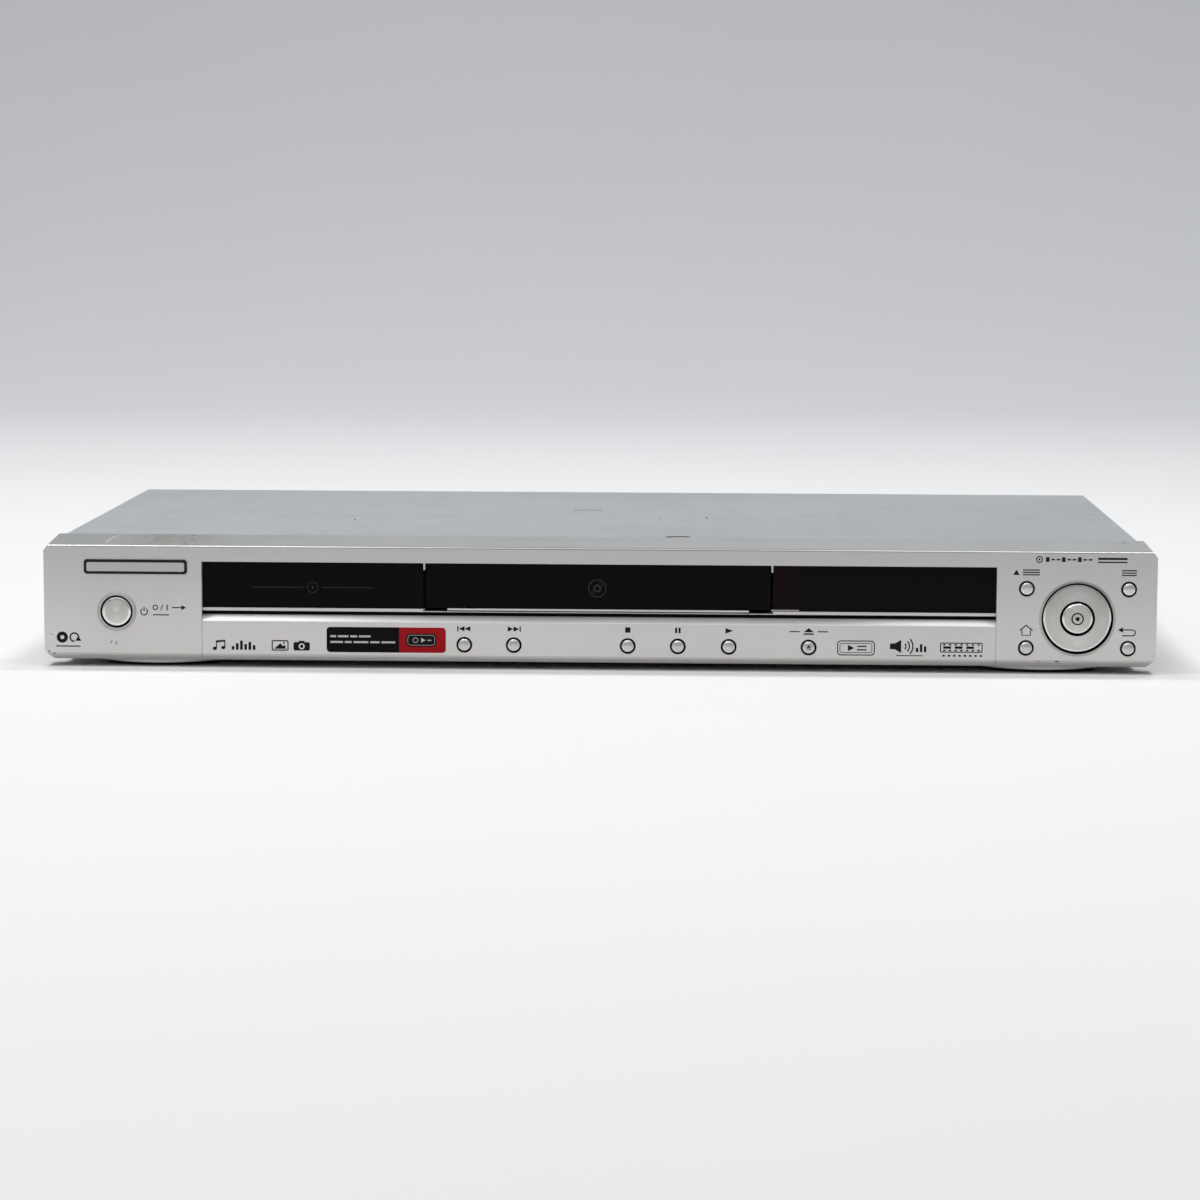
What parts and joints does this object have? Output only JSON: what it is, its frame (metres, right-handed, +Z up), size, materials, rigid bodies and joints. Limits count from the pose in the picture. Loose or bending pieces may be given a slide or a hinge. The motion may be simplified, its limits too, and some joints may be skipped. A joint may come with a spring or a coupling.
{
  "type": "disc player",
  "caption": "Slim silver table-top disc player with a motor-driven tray, a dark window band, small round keys and a ring key.",
  "frame": {"origin": "on the standing surface, under the middle of the bounding box", "axes": "+X to the right as seen from the front, +Y to the back, +Z up"},
  "size_m": [0.42, 0.2154, 0.0495],
  "materials": {
    "silver_paint": "satin silver paint on moulded plastic",
    "cover_paint": "silver-grey powder coat on folded steel",
    "zinc_steel": "zinc-plated sheet steel",
    "black_gloss": "glossy black moulded plastic",
    "smoked_window": "smoked transparent plastic, seen as near black",
    "red_window": "dark red transparent plastic",
    "key_silver": "satin silver key",
    "black_plastic": "matt black plastic",
    "rubber": "matt black rubber",
    "steel": "bare steel",
    "black_steel": "black screw",
    "aluminium": "bare aluminium",
    "board_green": "solder mask",
    "board_tan": "paper laminate",
    "component": "component bodies",
    "white_plastic": "natural white plastic",
    "tape_yellow": "winding tape",
    "glass_tube": "display tube",
    "brass": "brass"
  },
  "bodies": {
    "case": {"chassis_base": "zinc_steel", "rear_panel": "zinc_steel", "top_cover": "cover_paint", "front_panel": "silver_paint", "lower_strip": "silver_paint", "left_window": "black_gloss", "display_window": "smoked_window", "ir_window": "red_window", "badge_plate": "black_plastic", "front_feet": "silver_paint", "rubber_feet": "rubber", "cover_screws": "black_steel", "chassis_screws": "steel", "display_board": "board_green", "vfd_display": "glass_tube", "power_key_board": "board_green", "nav_key_board": "board_green", "tact_switches": "component", "main_board": "board_green", "main_board_chips": "component", "power_supply_board": "board_tan", "transformer": "tape_yellow", "capacitors": "component", "heat_sink": "aluminium", "av_jack_block": "black_plastic", "scart_socket": "black_plastic", "ac_inlet": "black_plastic", "ribbon_cables": "white_plastic", "loader_frame": "black_plastic", "clamp_bridge": "zinc_steel", "loading_motor": "zinc_steel", "drive_belt": "rubber"},
    "tray": {"tray": "black_plastic", "tray_door": "black_gloss", "tray_door_lip": "silver_paint"},
    "traverse": {"traverse_chassis": "zinc_steel", "traverse_motors": "zinc_steel", "guide_rods": "steel"},
    "turntable": {"turntable": "black_plastic"},
    "clamper": {"clamper": "black_plastic"},
    "pickup": {"pickup": "black_plastic"},
    "lead_screw": {"lead_screw": "steel"},
    "drive_gear": {"drive_gear": "white_plastic"},
    "pulley_gear": {"pulley_gear": "white_plastic"},
    "motor_pulley": {"motor_pulley": "brass"},
    "cam_slider": {"cam_slider": "white_plastic"},
    "nav_carrier": {"nav_carrier": "black_plastic"},
    "nav_ring": {"nav_ring": "key_silver"},
    "power_button": {"power_button": "key_silver"},
    "previous_button": {"previous_button": "key_silver"},
    "next_button": {"next_button": "key_silver"},
    "stop_button": {"stop_button": "key_silver"},
    "pause_button": {"pause_button": "key_silver"},
    "play_button": {"play_button": "key_silver"},
    "open_close_button": {"open_close_button": "key_silver"},
    "top_menu_button": {"top_menu_button": "key_silver"},
    "menu_button": {"menu_button": "key_silver"},
    "home_menu_button": {"home_menu_button": "key_silver"},
    "return_button": {"return_button": "key_silver"},
    "enter_button": {"enter_button": "key_silver"}
  },
  "joints": [
    {"name": "tray_slide", "type": "slide", "parent": "case", "child": "tray", "axis": [0, -1, 0], "range_m": [0, 0.135]},
    {"name": "drive_gear_spin", "type": "hinge", "parent": "case", "child": "drive_gear", "pos_m": [-0.044, -0.07595, 0.0277], "axis": [0, 0, 1], "range_deg": [-5, 708.18]},
    {"name": "pulley_gear_spin", "type": "hinge", "parent": "case", "child": "pulley_gear", "pos_m": [-0.0244, -0.07595, 0.021], "axis": [0, 0, 1], "range_deg": [-1767.94, 10]},
    {"name": "motor_pulley_spin", "type": "hinge", "parent": "case", "child": "motor_pulley", "pos_m": [0.0116, -0.07595, 0.0227], "axis": [0, 0, 1], "range_deg": [-5954.27, 60]},
    {"name": "traverse_tilt", "type": "hinge", "parent": "case", "child": "traverse", "pos_m": [0, 0.06205, 0.019], "axis": [1, 0, 0], "range_deg": [0, 3.92]},
    {"name": "cam_slide", "type": "slide", "parent": "case", "child": "cam_slider", "axis": [1, 0, 0], "range_m": [-0.0001, 0.0161]},
    {"name": "turntable_spin", "type": "hinge", "parent": "traverse", "child": "turntable", "pos_m": [0, -0.03445, 0.0335], "axis": [0, 0, 1], "continuous": true},
    {"name": "clamper_spin", "type": "hinge", "parent": "case", "child": "clamper", "pos_m": [0, -0.03445, 0.0365], "axis": [0, 0, 1], "continuous": true},
    {"name": "pickup_slide", "type": "slide", "parent": "traverse", "child": "pickup", "axis": [0, 1, 0], "range_m": [0, 0.034]},
    {"name": "lead_screw_spin", "type": "hinge", "parent": "traverse", "child": "lead_screw", "pos_m": [0.035, -0.00445, 0.023], "axis": [0, 1, 0], "range_deg": [-20, 4100]},
    {"name": "power_press", "type": "slide", "parent": "case", "child": "power_button", "axis": [0, 1, 0], "range_m": [0, 0.0005], "stiffness_N_per_m": 700, "springref_m": -0.0003},
    {"name": "previous_press", "type": "slide", "parent": "case", "child": "previous_button", "axis": [0, 1, 0], "range_m": [0, 0.0005], "stiffness_N_per_m": 500, "springref_m": -0.0003},
    {"name": "next_press", "type": "slide", "parent": "case", "child": "next_button", "axis": [0, 1, 0], "range_m": [0, 0.0005], "stiffness_N_per_m": 500, "springref_m": -0.0003},
    {"name": "stop_press", "type": "slide", "parent": "case", "child": "stop_button", "axis": [0, 1, 0], "range_m": [0, 0.0005], "stiffness_N_per_m": 500, "springref_m": -0.0003},
    {"name": "pause_press", "type": "slide", "parent": "case", "child": "pause_button", "axis": [0, 1, 0], "range_m": [0, 0.0005], "stiffness_N_per_m": 500, "springref_m": -0.0003},
    {"name": "play_press", "type": "slide", "parent": "case", "child": "play_button", "axis": [0, 1, 0], "range_m": [0, 0.0005], "stiffness_N_per_m": 500, "springref_m": -0.0003},
    {"name": "open_close_press", "type": "slide", "parent": "case", "child": "open_close_button", "axis": [0, 1, 0], "range_m": [0, 0.0005], "stiffness_N_per_m": 500, "springref_m": -0.0003},
    {"name": "top_menu_press", "type": "slide", "parent": "case", "child": "top_menu_button", "axis": [0, 1, 0], "range_m": [0, 0.0005], "stiffness_N_per_m": 500, "springref_m": -0.0003},
    {"name": "menu_press", "type": "slide", "parent": "case", "child": "menu_button", "axis": [0, 1, 0], "range_m": [0, 0.0005], "stiffness_N_per_m": 500, "springref_m": -0.0003},
    {"name": "home_menu_press", "type": "slide", "parent": "case", "child": "home_menu_button", "axis": [0, 1, 0], "range_m": [0, 0.0005], "stiffness_N_per_m": 500, "springref_m": -0.0003},
    {"name": "return_press", "type": "slide", "parent": "case", "child": "return_button", "axis": [0, 1, 0], "range_m": [0, 0.0005], "stiffness_N_per_m": 500, "springref_m": -0.0003},
    {"name": "enter_press", "type": "slide", "parent": "case", "child": "enter_button", "axis": [0, 1, 0], "range_m": [0, 0.0005], "stiffness_N_per_m": 700, "springref_m": -0.0003},
    {"name": "nav_carrier_rock", "type": "hinge", "parent": "case", "child": "nav_carrier", "pos_m": [0.1803, -0.10225, 0.0211], "axis": [1, 0, 0], "range_deg": [-2, 2], "stiffness_Nm_per_rad": 0.3},
    {"name": "nav_ring_rock", "type": "hinge", "parent": "nav_carrier", "child": "nav_ring", "pos_m": [0.1803, -0.10225, 0.0211], "axis": [0, 0, 1], "range_deg": [-2, 2], "stiffness_Nm_per_rad": 0.3}
  ],
  "couplings": [
    {"joint": "drive_gear_spin", "follows": "tray_slide", "rad_per_m": 90.909},
    {"joint": "pulley_gear_spin", "follows": "tray_slide", "rad_per_m": -227.27},
    {"joint": "motor_pulley_spin", "follows": "tray_slide", "rad_per_m": -762.03},
    {"joint": "cam_slide", "follows": "traverse_tilt", "m_per_rad": 0.23382},
    {"joint": "clamper_spin", "follows": "turntable_spin", "ratio": 1},
    {"joint": "lead_screw_spin", "follows": "pickup_slide", "rad_per_m": 2094.4}
  ]
}
